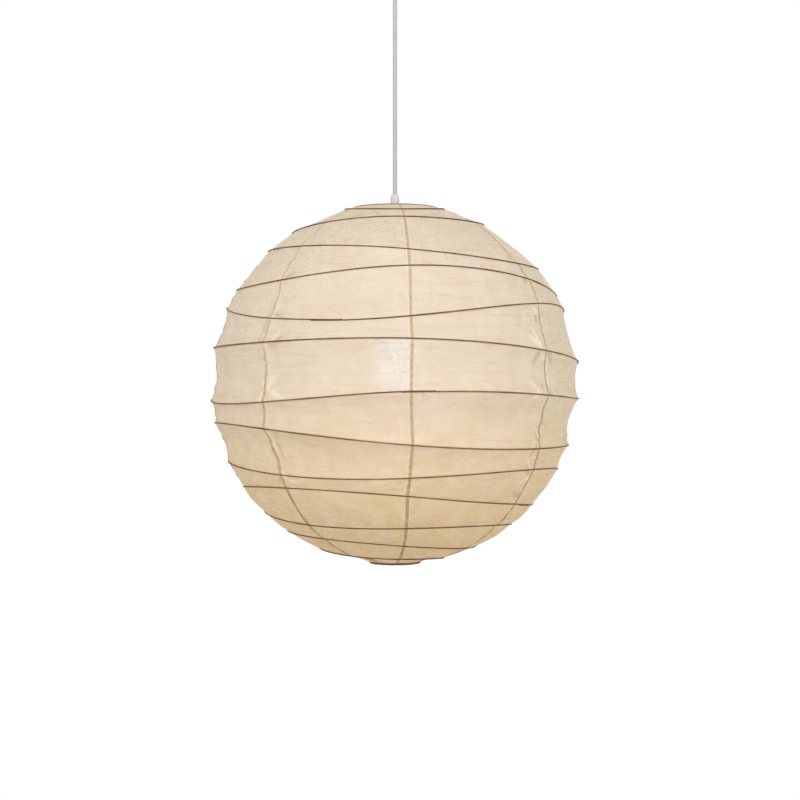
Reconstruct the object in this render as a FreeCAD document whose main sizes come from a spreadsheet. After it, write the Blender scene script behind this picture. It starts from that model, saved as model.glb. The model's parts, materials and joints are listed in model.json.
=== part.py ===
import FreeCAD, Part
import math
import os
import Sketcher

# Round paper pendant lantern on a cord. Millimetres, +Z up.
# The origin is on the ceiling, on the axis of the ceiling rose; everything hangs below it.
# The front of the lantern, from which it is normally seen, faces -Y.

os.makedirs("parts", exist_ok=True)
doc = FreeCAD.newDocument("paper_lantern")

# ---------------------------------------------------------------- driving dimensions

SIZES = {
    # the shade, with heights counted from its centre
    "centre_drop": 600.0,
    "rib_surface_radius": 250.0,
    "rib_surface_height": 245.0,
    "globe_rise": 2.0,
    "rib_wire_radius": 1.2,
    "splice_length": 42.0,
    "splice_step": 2.5,
    "gore_span": 46.3,
    "first_gore_side": 27.5,
    "paper_thickness": 0.4,
    "inner_layer_depth": 2.1,
    "outer_layer_depth": 1.6,
    "paper_edge_gap": 2.1,
    "ring_wire_radius": 1.0,
    "collar_gap": 0.15,
    "collar_radius": 1.6,
    "top_ring_radius": 57.0,
    "top_ring_level": 239.5,
    "bottom_ring_radius": 33.3,
    "bottom_ring_level": -240.0,
    # the spreader frame inside the shade
    "frame_wire_radius": 1.1,
    "hub_radius": 12.0,
    "hub_thickness": 2.0,
    "hub_top_level": 246.0,
    "hub_hole_radius": 4.15,
    "bridge_start": 8.5,
    "bridge_shoulder": 51.5,
    "bridge_saddle": 53.8,
    "bridge_tip": 58.6,
    "saddle_level": 236.65,
    "leg_offset": 30.0,
    "leg_weld_depth": 0.5,
    "foot_level": -236.0,
    "foot_reach": 22.0,
    "wire_bend_radius": 3.0,
    # the cord and its grip on top of the shade
    "cord_radius": 3.0,
    "cord_bore_radius": 3.05,
    "cord_end_level": 122.0,
    "grip_top_level": 259.4,
    "grip_shoulder_radius": 5.75,
    "grip_base_radius": 6.2,
    "grip_socket_depth": 9.0,
    "stem_radius": 4.0,
    "stem_top_level": 254.5,
    "stem_length": 21.5,
    "locknut_width": 13.0,
    "locknut_thickness": 4.0,
    # the ceiling rose, with heights counted from the ceiling
    "rose_radius": 46.0,
    "rose_depth": 34.0,
    "rose_wall": 2.0,
    "rose_floor": 2.5,
    "rose_hole_radius": 5.1,
    "bracket_length": 84.0,
    "bracket_width": 14.0,
    "bracket_thickness": 2.0,
    "bracket_tab_depth": 14.0,
    "bracket_hole_spacing": 50.0,
    "bracket_hole_radius": 2.25,
    "side_screw_level": 8.0,
    "side_screw_radius": 1.6,
    "side_screw_length": 10.0,
    "side_screw_head_radius": 3.6,
    "side_screw_head_height": 2.4,
    "side_hole_clearance": 0.05,
    "screw_slot_width": 0.9,
    "screw_slot_depth": 1.0,
    "rose_rim_gap": 0.5,
    "rose_grip_radius": 8.0,
    "rose_grip_length": 18.0,
    "rose_grip_stem_radius": 5.0,
    "rose_grip_stem_length": 7.5,
    "rose_nut_width": 15.0,
    "rose_nut_thickness": 4.0,
    "pivot_drop": 47.0,
    "pivot_pocket_radius": 3.4,
    "flex_mouth_radius": 5.2,
    "tail_gap": 3.5,
    "tail_top_drop": 22.0,
    "core_radius": 0.9,
    "core_spacing": 2.6,
    "core_bend_radius": 1.5,
    "core_arch_rise": 2.8,
    "block_length": 18.0,
    "block_width": 11.0,
    "block_height": 11.0,
    "block_pitch": 9.0,
    "block_hole_radius": 1.4,
    "block_hole_depth": 6.0,
    "block_screw_radius": 1.5,
    "block_screw_length": 3.5,
    "block_screw_drop": 7.0,
    "block_screw_clearance": 0.1,
    # the lampholder, with heights counted from the centre of the shade
    "holder_radius": 19.5,
    "holder_wall": 2.0,
    "holder_mouth_level": 68.0,
    "holder_joint_level": 112.0,
    "holder_neck_level": 124.0,
    "holder_top_level": 134.0,
    "holder_neck_radius": 7.0,
    "holder_bore_radius": 3.2,
    "holder_ring_radius": 25.0,
    "holder_ring_height": 5.0,
    "holder_ring_level": 76.0,
    "holder_ring_gap": 0.1,
    "insert_radius": 17.3,
    "insert_bottom_level": 98.0,
    "insert_height": 13.0,
    "shell_radius": 14.4,
    "shell_wall": 0.5,
    "shell_bottom_level": 72.0,
    "contact_width": 5.0,
    "contact_length": 12.0,
    "contact_thickness": 0.5,
    "terminal_offset": 9.0,
    "terminal_radius": 2.0,
    "terminal_height": 3.0,
    "terminal_slot_width": 0.7,
    "terminal_slot_depth": 0.8,
    # the bulb, with heights counted from the centre of the shade
    "bulb_radius": 27.5,
    "bulb_centre_level": 27.0,
    "bulb_glass": 1.0,
    "bulb_neck_level": 68.0,
    "bulb_neck_radius": 13.0,
    "bulb_shoulder_rise": 18.0,
    "base_radius": 12.9,
    "base_wall": 0.5,
    "base_height": 25.0,
    "base_thread_radius": 0.45,
    "base_thread_pitch": 3.6,
    "base_thread_start": 5.5,
    "insulator_height": 3.0,
    "insulator_tip_radius": 6.0,
    "tip_radius": 4.5,
    "tip_height": 1.0,
    "stem_flare_radius": 11.5,
    "stem_flare_height": 2.0,
    "stem_rod_radius": 3.0,
    "stem_rod_length": 30.0,
    "filament_radius": 0.8,
    "filament_length": 30.0,
    "filament_circle": 7.0,
    "filament_level": 22.0,
}

# Each rib hoop: height of its middle, how far it tilts and towards which side, how far it waves
# and towards which side, and where its lapped ends lie. Sides are degrees from the front.
RIB_COLUMNS = ("height", "tilt", "tilt_side", "wave", "wave_side", "splice_side")
RIBS = [
    (234.0, 0.5, 165, 4.0, 90, 170),
    (214.0, 6.0, 93, 4.0, -18, 130),
    (173.0, 13.5, -119, 4.5, -8, -150),
    (133.0, 6.5, -53, 12.5, 20, 58),
    (90.0, 4.5, -44, 16.5, 69, -26),
    (45.0, 11.5, -64, 6.5, 18, 160),
    (-8.0, 14.5, 179, 12.0, 13, 2),
    (-72.5, 15.0, -72, 7.0, -76, -140),
    (-115.5, 8.0, -54, 9.5, 68, 120),
    (-147.0, 12.5, -64, 4.0, -24, 58),
    (-179.5, 10.0, -112, 5.5, 46, -165),
    (-205.5, 11.0, -109, 1.5, -6, 140),
    (-229.0, 7.0, -87, 2.5, 56, 175),
]
GORE_COUNT = 8

sheet = doc.addObject("Spreadsheet::Sheet", "sizes")


def fill_sheet():
    """Write every size, and every rib's six numbers, into a cell of its own."""
    named = list(SIZES.items())
    for index, rib in enumerate(RIBS, start=1):
        for column, value in zip(RIB_COLUMNS, rib):
            named.append((f"rib_{index:02d}_{column}", value))
    for row, (alias, value) in enumerate(named, start=1):
        sheet.set(f"A{row}", alias)
        sheet.set(f"B{row}", str(value))
        sheet.setAlias(f"B{row}", alias)
    doc.recompute()


def size(alias):
    """A size as a plain number, for the few shapes that are set in code."""
    return float(sheet.get(alias))


fill_sheet()

# ---------------------------------------------------------------- building blocks


def bind(item, **formulas):
    """Bind properties to the sheet. Every word that is a cell's alias is looked up there."""
    for name, formula in formulas.items():
        item.setExpression(name.replace("_at_", "."), in_sheet(formula))
    return item


def in_sheet(formula):
    """Put the sheet's name before each alias in a formula."""
    word = ""
    result = ""
    for letter in formula + " ":
        if letter.isalnum() or letter == "_":
            word += letter
            continue
        if word in SIZES or word.startswith("rib_0") or word.startswith("rib_1"):
            word = "sizes." + word
        result += word + letter
        word = ""
    return result.strip()


height_formulas = {}


def move(item, x="0", y="0", z="0"):
    """Bind where an item stands."""
    height_formulas[item.Name] = z
    item.setExpression("Placement.Base.x", in_sheet(x))
    item.setExpression("Placement.Base.y", in_sheet(y))
    item.setExpression("Placement.Base.z", in_sheet(z))
    return item


def turn(item, axis, degrees):
    """Turn an item about an axis through its own base."""
    item.Placement.Rotation = FreeCAD.Rotation(FreeCAD.Vector(*axis), degrees)
    return item


def cylinder(radius, height, z="0", x="0", y="0"):
    item = bind(doc.addObject("Part::Cylinder", "cylinder"), Radius=radius, Height=height)
    return move(item, x, y, z)


def cone(low_radius, high_radius, height, z="0"):
    item = doc.addObject("Part::Cone", "cone")
    bind(item, Radius1=low_radius, Radius2=high_radius, Height=height)
    return move(item, z=z)


def torus(ring_radius, wire_radius, z="0"):
    item = bind(doc.addObject("Part::Torus", "torus"), Radius1=ring_radius, Radius2=wire_radius)
    return move(item, z=z)


def sphere(radius, z="0"):
    return move(bind(doc.addObject("Part::Sphere", "sphere"), Radius=radius), z=z)


def block(length, width, height, x, y, z):
    item = bind(doc.addObject("Part::Box", "block"), Length=length, Width=width, Height=height)
    return move(item, x, y, z)


def hexagon(width, height, z):
    """A hexagonal bar, with its width counted across the flats."""
    item = doc.addObject("Part::Prism", "hexagon")
    item.Polygon = 6
    bind(item, Circumradius=f"({width}) / 2 / cos(30)", Height=height)
    return move(item, z=z)


def fuse(*items):
    item = doc.addObject("Part::MultiFuse", "joined")
    item.Shapes = list(items)
    return item


def cut(base, tool):
    item = doc.addObject("Part::Cut", "shaped")
    item.Base = base
    item.Tool = tool
    return item


def group(*items):
    """Several separate solids that make one sub-part."""
    item = doc.addObject("Part::Compound", "group")
    item.Links = list(items)
    return item


def tube(outer, inner, height, z="0"):
    return cut(cylinder(outer, height, z), cylinder(inner, height, z))


def turned(stations):
    """A PartDesign body turned about Z from (radius, height) stations, each bound to the sheet."""
    body = doc.addObject("PartDesign::Body", "turned")
    sketch = body.newObject("Sketcher::SketchObject", "outline")
    plane = [item for item in body.Origin.OriginFeatures if item.Role == "XZ_Plane"][0]
    sketch.AttachmentSupport = [(plane, "")]
    sketch.MapMode = "FlatFace"
    count = len(stations)
    # a rough first outline, which the bound constraints then pull to size
    rough = [FreeCAD.Vector(evaluate(radius), evaluate(height), 0) for radius, height in stations]
    for index in range(count):
        sketch.addGeometry(Part.LineSegment(rough[index], rough[(index + 1) % count]))
    for index in range(count):
        sketch.addConstraint(Sketcher.Constraint("Coincident", index, 2, (index + 1) % count, 1))
    for index, (radius, height) in enumerate(stations):
        across = sketch.addConstraint(Sketcher.Constraint("DistanceX", -1, 1, index, 1, rough[index].x))
        sketch.setExpression(f"Constraints[{across}]", in_sheet(radius))
        along = sketch.addConstraint(Sketcher.Constraint("DistanceY", -1, 1, index, 1, rough[index].y))
        sketch.setExpression(f"Constraints[{along}]", in_sheet(height))
    spin = body.newObject("PartDesign::Revolution", "spin")
    spin.Profile = sketch
    spin.ReferenceAxis = (sketch, ["V_Axis"])
    spin.Angle = 360
    body.Tip = spin
    return body


def evaluate(formula):
    """The present value of a formula."""
    return float(sheet.evalExpression(in_sheet(formula)))


finished = []


def name_part(item, label, hangs_from="ceiling"):
    """Give a sub-part its name; one that belongs to the shade hangs at the shade's centre."""
    item.Label = label
    if hangs_from == "shade":
        own_height = height_formulas.get(item.Name, "0")
        item.setExpression("Placement.Base.z", in_sheet(f"-centre_drop + ({own_height})"))
    finished.append(item)
    return item


def wire_along(points, wire_radius, bend_radius):
    """A round wire through the points, with each corner bent to a radius."""
    edges = []
    start = points[0]
    for before, corner, after in zip(points, points[1:], points[2:]):
        inward = (before - corner).normalize()
        outward = (after - corner).normalize()
        half = inward.getAngle(outward) / 2
        setback = bend_radius / math.tan(half)
        bend_start = corner + inward * setback
        bend_end = corner + outward * setback
        to_centre = (inward + outward).normalize() * (bend_radius / math.sin(half))
        centre = corner + to_centre
        middle = centre - to_centre.normalize() * bend_radius
        edges.append(Part.makeLine(start, bend_start))
        edges.append(Part.Arc(bend_start, middle, bend_end).toShape())
        start = bend_end
    edges.append(Part.makeLine(start, points[-1]))
    spine = Part.Wire(edges)
    direction = edges[0].tangentAt(edges[0].FirstParameter)
    section = Part.Wire(Part.makeCircle(wire_radius, points[0], direction))
    return spine.makePipeShell([section], True, False)


def coded_part(label, shape, hangs_from="ceiling"):
    """A sub-part whose bent shape no primitive or sketch fits."""
    item = doc.addObject("Part::Feature", "formed")
    item.Shape = shape
    return name_part(item, label, hangs_from)


# ---------------------------------------------------------------- ceiling rose


def make_bracket():
    """Steel strap with turned-down ends: two holes for the ceiling screws, two for the cup's."""
    strap = block("bracket_length", "bracket_width", "bracket_thickness",
                  "-bracket_length / 2", "-bracket_width / 2", "-bracket_thickness")
    tabs = []
    for x in ("-bracket_length / 2", "bracket_length / 2 - bracket_thickness"):
        tabs.append(block("bracket_thickness", "bracket_width", "bracket_tab_depth - bracket_thickness",
                          x, "-bracket_width / 2", "-bracket_tab_depth"))
    holes = []
    for sign in ("-", ""):
        holes.append(cylinder("bracket_hole_radius", "bracket_thickness", "-bracket_thickness",
                              f"{sign}bracket_hole_spacing / 2"))
    across = cylinder("side_screw_radius + side_hole_clearance", "bracket_length",
                      "-side_screw_level", "-bracket_length / 2")
    turn(across, (0, 1, 0), 90)
    name_part(cut(fuse(strap, *tabs), fuse(across, *holes)), "ceiling_bracket")


def make_cup():
    """Plastic cup that hides the wiring, open towards the ceiling."""
    rim = "-rose_rim_gap"
    shell = turned([
        ("rose_hole_radius", "-rose_depth"),
        ("rose_radius - 7", "-rose_depth"),
        ("rose_radius - 2", "-rose_depth + 2"),
        ("rose_radius", "-rose_depth + 7"),
        ("rose_radius", rim),
        ("rose_radius - rose_wall", rim),
        ("rose_radius - rose_wall", "-rose_depth + 7.5"),
        ("rose_radius - 4", "-rose_depth + 4"),
        ("rose_radius - 7.5", "-rose_depth + rose_floor"),
        ("rose_hole_radius", "-rose_depth + rose_floor"),
    ])
    across = cylinder("side_screw_radius + side_hole_clearance", "rose_radius * 2",
                      "-side_screw_level", "-rose_radius")
    turn(across, (0, 1, 0), 90)
    name_part(cut(shell, across), "rose_cup")


def make_side_screws():
    """Two pan-head screws that hold the cup on the bracket's tabs."""
    screws = []
    for degrees in (90, -90):
        head = cylinder("side_screw_head_radius", "side_screw_head_height", "rose_radius")
        shank = cylinder("side_screw_radius", "side_screw_length", "rose_radius - side_screw_length")
        slot = block("side_screw_head_radius * 2", "screw_slot_width", "screw_slot_depth",
                     "-side_screw_head_radius", "-screw_slot_width / 2",
                     "rose_radius + side_screw_head_height - screw_slot_depth")
        screw = cut(fuse(head, shank), slot)
        turn(screw, (0, 1, 0), degrees)
        screws.append(move(screw, z="-side_screw_level"))
    name_part(group(*screws), "rose_screws")


def make_rose_grip():
    """Nylon cord grip in the cup's floor; its mouth flares so that the cord can swing."""
    grip = turned([
        ("cord_bore_radius", "-rose_depth + rose_grip_stem_length"),
        ("rose_grip_stem_radius", "-rose_depth + rose_grip_stem_length"),
        ("rose_grip_stem_radius", "-rose_depth"),
        ("rose_grip_radius + 1", "-rose_depth"),
        ("rose_grip_radius + 1", "-rose_depth - 3"),
        ("rose_grip_radius", "-rose_depth - 4"),
        ("rose_grip_radius - 1", "-rose_depth - rose_grip_length"),
        ("flex_mouth_radius", "-rose_depth - rose_grip_length"),
        ("pivot_pocket_radius", "-pivot_drop"),
        ("pivot_pocket_radius", "-pivot_drop + tail_gap"),
        ("cord_bore_radius", "-pivot_drop + tail_gap"),
    ])
    name_part(grip, "rose_cord_grip")
    nut = cut(hexagon("rose_nut_width", "rose_nut_thickness", "-rose_depth + rose_floor"),
              cylinder("rose_grip_stem_radius", "rose_nut_thickness", "-rose_depth + rose_floor"))
    name_part(nut, "rose_grip_nut")


def make_rose_wiring():
    """The cord's fixed end above the flexing point, its two cores, and the terminal block."""
    tail = cylinder("cord_radius", "pivot_drop - tail_gap - tail_top_drop", "-pivot_drop + tail_gap")
    name_part(tail, "cord_tail")
    block_bottom = size("bracket_thickness") + size("block_height")
    for label, side in (("rose_live_core", -1), ("rose_neutral_core", 1)):
        near = side * size("core_spacing") / 2
        far = side * size("block_pitch") / 2
        bend_level = -(size("tail_top_drop") + block_bottom) / 2
        route = [
            FreeCAD.Vector(near, 0, -size("tail_top_drop")),
            FreeCAD.Vector(near, 0, bend_level),
            FreeCAD.Vector(far, 0, bend_level),
            FreeCAD.Vector(far, 0, -block_bottom + size("block_hole_depth") - 1),
        ]
        coded_part(label, wire_along(route, size("core_radius"), size("core_bend_radius")))
    body = block("block_length", "block_width", "block_height",
                 "-block_length / 2", "-block_width / 2", "-bracket_thickness - block_height")
    screw_level = "-bracket_thickness - block_screw_drop"
    wire_holes = []
    screw_holes = []
    screws = []
    for sign in ("-", ""):
        x = f"{sign}block_pitch / 2"
        wire_holes.append(cylinder("block_hole_radius", "block_hole_depth",
                                   "-bracket_thickness - block_height", x))
        hole = cylinder("block_screw_radius + block_screw_clearance", "block_screw_length",
                        screw_level, x, "-block_width / 2")
        screw_holes.append(turn(hole, (1, 0, 0), -90))
        screw = cylinder("block_screw_radius", "block_screw_length - 0.5", screw_level,
                         x, "-block_width / 2 + 0.5")
        screws.append(turn(screw, (1, 0, 0), -90))
    name_part(cut(body, fuse(*wire_holes, *screw_holes)), "terminal_block")
    name_part(group(*screws), "terminal_screws")


# ---------------------------------------------------------------- cord, grip and hub


def make_cord():
    """The cord from its flexing point in the ceiling grip, through the shade's grip, to the lampholder."""
    length = "centre_drop - pivot_drop - cord_end_level"
    run = cylinder("cord_radius", length, "cord_end_level")
    round_top = sphere("cord_radius", "centre_drop - pivot_drop")
    name_part(fuse(run, round_top), "cord", "shade")


def make_shade_grip():
    """Tapered nylon grip screwed down on a threaded stem, which a locknut holds in the hub plate."""
    grip = turned([
        ("cord_bore_radius", "grip_top_level"),
        ("grip_shoulder_radius - 2", "grip_top_level"),
        ("grip_shoulder_radius - 0.7", "grip_top_level - 0.7"),
        ("grip_shoulder_radius", "grip_top_level - 2.5"),
        ("grip_base_radius", "hub_top_level"),
        ("stem_radius", "hub_top_level"),
        ("stem_radius", "hub_top_level + grip_socket_depth"),
        ("cord_bore_radius", "hub_top_level + grip_socket_depth"),
    ])
    name_part(grip, "cord_grip", "shade")
    stem = tube("stem_radius", "cord_bore_radius", "stem_length", "stem_top_level - stem_length")
    name_part(stem, "grip_stem", "shade")
    hub_bottom = "hub_top_level - hub_thickness"
    plate = tube("hub_radius", "hub_hole_radius", "hub_thickness", hub_bottom)
    name_part(plate, "hub_plate", "shade")
    nut_bottom = f"{hub_bottom} - locknut_thickness"
    nut = cut(hexagon("locknut_width", "locknut_thickness", nut_bottom),
              cylinder("stem_radius", "locknut_thickness", nut_bottom))
    name_part(nut, "grip_locknut", "shade")


# ---------------------------------------------------------------- spreader frame


def make_frame():
    """Bridge wires that carry the top ring, and long legs that guide the bottom ring."""
    wire = size("frame_wire_radius")
    bend = size("wire_bend_radius")
    bridge_level = size("hub_top_level") - size("hub_thickness") - wire
    for name, side in (("left", -1), ("right", 1)):
        bridge = [
            FreeCAD.Vector(side * size("bridge_start"), 0, bridge_level),
            FreeCAD.Vector(side * size("bridge_shoulder"), 0, bridge_level),
            FreeCAD.Vector(side * size("bridge_saddle"), 0, size("saddle_level")),
            FreeCAD.Vector(side * size("bridge_tip"), 0, size("saddle_level")),
        ]
        coded_part(f"bridge_wire_{name}", wire_along(bridge, wire, bend / 2), "shade")
        leg_top = bridge_level - wire + size("leg_weld_depth")
        leg = [
            FreeCAD.Vector(side * size("leg_offset"), 0, leg_top),
            FreeCAD.Vector(side * size("leg_offset"), 0, size("foot_level")),
            FreeCAD.Vector(side * size("foot_reach"), 0, size("foot_level")),
        ]
        coded_part(f"leg_wire_{name}", wire_along(leg, wire, bend), "shade")


# ---------------------------------------------------------------- shade


def make_ring(name):
    """A wire ring and the paper sleeve folded and glued around it."""
    ring_radius = f"{name}_ring_radius"
    level = f"{name}_ring_level"
    name_part(torus(ring_radius, "ring_wire_radius", level), f"{name}_ring", "shade")
    sleeve = cut(torus(ring_radius, "collar_radius", level),
                 torus(ring_radius, "ring_wire_radius + collar_gap", level))
    name_part(sleeve, f"{name}_collar", "shade")


def paper_arc(depth):
    """Half outline of a paper layer, a given depth inside the surface that the ribs lie on."""
    arc = doc.addObject("Part::Ellipse", "paper_arc")
    radius = f"(rib_surface_radius - {depth})"
    low_edge = "bottom_ring_radius + paper_edge_gap"
    high_edge = "top_ring_radius + paper_edge_gap"
    bind(arc, MajorRadius=radius, MinorRadius=f"rib_surface_height - {depth}",
         Angle1=f"-acos(({low_edge}) / {radius})", Angle2=f"acos(({high_edge}) / {radius})")
    turn(arc, (1, 0, 0), 90)
    return move(arc, z="globe_rise")


def make_gores():
    """Eight paper gores, every second one in an outer layer so that their edges lap."""
    sections = []
    for depth in ("inner_layer_depth", "outer_layer_depth"):
        section = doc.addObject("Part::RuledSurface", "paper_section")
        section.Curve1 = (paper_arc(depth), ["Edge1"])
        section.Curve2 = (paper_arc(f"({depth} + paper_thickness)"), ["Edge1"])
        sections.append(section)
    for index in range(GORE_COUNT):
        gore = doc.addObject("Part::Revolution", "gore")
        gore.Source = sections[index % 2]
        gore.Axis = (0, 0, 1)
        gore.Base = (0, 0, 0)
        gore.Solid = True
        bind(gore, Angle="gore_span")
        # the sections stand on +X; the first gore is centred just right of the front
        first = -90 + size("first_gore_side") - size("gore_span") / 2
        turn(gore, (0, 0, 1), first + index * 360 / GORE_COUNT)
        name_part(gore, f"paper_gore_{index + 1}", "shade")


def rib_path(height, tilt, tilt_side, wave, wave_side, splice_side):
    """A hoop on the globe's surface, whose last stretch runs beside its first."""
    broad = size("rib_surface_radius")
    tall = size("rib_surface_height")
    rise = size("globe_rise")
    lap = math.degrees(size("splice_length") / (broad * math.sqrt(1 - ((height - rise) / tall) ** 2)))
    steps = 48
    lead = 3 * lap
    points = []
    for step in range(steps + 1):
        along = (360 + lap) * step / steps
        side = math.radians(splice_side + along)
        level = height + tilt * math.cos(side - math.radians(tilt_side))
        level += wave * math.cos(2 * (side - math.radians(wave_side)))
        # the second end steps over to lie beside the first
        aside = min(max((along - (360 - lead)) / lead, 0), 1)
        level += size("splice_step") * aside * aside * (3 - 2 * aside)
        radius = broad * math.sqrt(1 - ((level - rise) / tall) ** 2)
        points.append(FreeCAD.Vector(radius * math.sin(side), -radius * math.cos(side), level))
    curve = Part.BSplineCurve()
    curve.interpolate(points)
    return curve.toShape()


def make_ribs():
    """Thin split-cane hoops around the outside of the paper."""
    for index in range(1, len(RIBS) + 1):
        numbers = [size(f"rib_{index:02d}_{column}") for column in RIB_COLUMNS]
        path = rib_path(*numbers)
        start = path.valueAt(path.FirstParameter)
        direction = path.tangentAt(path.FirstParameter)
        section = Part.Wire(Part.makeCircle(size("rib_wire_radius"), start, direction))
        hoop = Part.Wire(path).makePipeShell([section], True, False)
        coded_part(f"rib_{index:02d}", hoop, "shade")


# ---------------------------------------------------------------- lampholder


def make_lampholder():
    """Plastic lampholder on the cord's lower end, with its insert, contacts and retaining ring."""
    cap = turned([
        ("holder_bore_radius", "holder_top_level"),
        ("holder_neck_radius - 1", "holder_top_level"),
        ("holder_neck_radius", "holder_top_level - 1"),
        ("holder_neck_radius", "holder_neck_level"),
        ("holder_radius - 5", "holder_joint_level + 7"),
        ("holder_radius - 1.5", "holder_joint_level + 4"),
        ("holder_radius", "holder_joint_level"),
        ("holder_radius - holder_wall", "holder_joint_level"),
        ("holder_radius - holder_wall - 1.5", "holder_joint_level + 3.2"),
        ("holder_radius - holder_wall - 4.5", "holder_joint_level + 5.2"),
        ("holder_neck_radius - 2", "holder_neck_level - 2.5"),
        ("holder_bore_radius", "holder_neck_level - 2.5"),
    ])
    name_part(cap, "lampholder_cap", "shade")
    skirt = tube("holder_radius", "holder_radius - holder_wall",
                 "holder_joint_level - holder_mouth_level", "holder_mouth_level")
    name_part(skirt, "lampholder_body", "shade")
    ring = turned([
        ("holder_radius + holder_ring_gap", "holder_ring_level"),
        ("holder_ring_radius", "holder_ring_level"),
        ("holder_ring_radius", "holder_ring_level + 1.8"),
        ("holder_radius + 2.2", "holder_ring_level + 2.2"),
        ("holder_radius + 2", "holder_ring_level + holder_ring_height"),
        ("holder_radius + holder_ring_gap", "holder_ring_level + holder_ring_height"),
    ])
    name_part(ring, "retaining_ring", "shade")
    insert = cylinder("insert_radius", "insert_height", "insert_bottom_level")
    name_part(insert, "lampholder_insert", "shade")
    shell = tube("shell_radius", "shell_radius - shell_wall",
                 "insert_bottom_level - shell_bottom_level", "shell_bottom_level")
    name_part(shell, "threaded_shell", "shade")
    contact = block("contact_length", "contact_width", "contact_thickness",
                    "-contact_length / 2", "-contact_width / 2",
                    "insert_bottom_level - contact_thickness")
    name_part(contact, "centre_contact", "shade")
    screws = []
    insert_top = "insert_bottom_level + insert_height"
    for sign in ("-", ""):
        head = cylinder("terminal_radius", "terminal_height", insert_top, f"{sign}terminal_offset")
        slot = block("terminal_radius * 2", "terminal_slot_width", "terminal_slot_depth",
                     f"{sign}terminal_offset - terminal_radius", "-terminal_slot_width / 2",
                     f"{insert_top} + terminal_height - terminal_slot_depth")
        screws.append(cut(head, slot))
    name_part(group(*screws), "lampholder_terminals", "shade")
    for label, side in (("inner_live_core", -1), ("inner_neutral_core", 1)):
        near = side * size("core_spacing") / 2
        far = side * size("terminal_offset")
        screw_top = size("insert_bottom_level") + size("insert_height") + size("terminal_height")
        arch_level = screw_top + size("core_arch_rise")
        route = [
            FreeCAD.Vector(near, 0, size("cord_end_level")),
            FreeCAD.Vector(near, 0, arch_level),
            FreeCAD.Vector(far, 0, arch_level),
            FreeCAD.Vector(far, 0, screw_top),
        ]
        coded_part(label, wire_along(route, size("core_radius"), size("core_bend_radius")), "shade")


# ---------------------------------------------------------------- bulb


def make_bulb():
    """Frosted bulb with its screw base, hanging cap upwards."""
    def envelope(inset):
        globe = sphere(f"bulb_radius - {inset}", "bulb_centre_level")
        shoulder_radius = f"sqrt(bulb_radius ^ 2 - bulb_shoulder_rise ^ 2) - {inset}"
        shoulder_level = "(bulb_centre_level + bulb_shoulder_rise)"
        neck = cone(shoulder_radius, f"bulb_neck_radius - {inset}",
                    f"bulb_neck_level - {shoulder_level}", shoulder_level)
        return fuse(globe, neck)

    name_part(cut(envelope("0"), envelope("bulb_glass")), "bulb_glass", "shade")
    shell = tube("base_radius", "base_radius - base_wall", "base_height", "bulb_neck_level")
    threads = []
    for turn_number in range(5):
        threads.append(torus("base_radius - 0.1", "base_thread_radius",
                             f"bulb_neck_level + base_thread_start + {turn_number} * base_thread_pitch"))
    hollow = cylinder("base_radius - base_wall", "base_height", "bulb_neck_level")
    name_part(cut(fuse(shell, *threads), hollow), "bulb_base", "shade")
    insulator_level = "bulb_neck_level + base_height"
    insulator = cone("base_radius", "insulator_tip_radius", "insulator_height", insulator_level)
    name_part(insulator, "bulb_insulator", "shade")
    tip = cylinder("tip_radius", "tip_height", f"{insulator_level} + insulator_height")
    name_part(tip, "bulb_tip", "shade")
    flare = cylinder("stem_flare_radius", "stem_flare_height", "bulb_neck_level - stem_flare_height")
    rod = cylinder("stem_rod_radius", "stem_rod_length",
                   "bulb_neck_level - stem_flare_height - stem_rod_length")
    name_part(fuse(flare, rod), "bulb_stem", "shade")
    filaments = []
    for quarter in range(4):
        angle = 45 + 90 * quarter
        filaments.append(cylinder("filament_radius", "filament_length", "filament_level",
                                  f"filament_circle * cos({angle})", f"filament_circle * sin({angle})"))
    name_part(group(*filaments), "bulb_filaments", "shade")


# ---------------------------------------------------------------- build, check and write

make_bracket()
make_cup()
make_side_screws()
make_rose_grip()
make_rose_wiring()
make_cord()
make_shade_grip()
make_frame()
make_ring("top")
make_ring("bottom")
make_gores()
make_ribs()
make_lampholder()
make_bulb()
doc.recompute()

faults = [item.Name for item in doc.Objects if "Invalid" in item.State or "Error" in item.State]
for part in finished:
    solids = part.Shape.Solids
    if not solids or not part.Shape.isValid() or min(solid.Volume for solid in solids) <= 0:
        faults.append(part.Label)
if faults:
    raise SystemExit("not sound: " + ", ".join(faults))
for part in finished:
    part.Shape.exportStep(f"parts/{part.Label}.step")
print(len(finished), "sub-parts written")
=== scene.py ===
import json
import math

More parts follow.
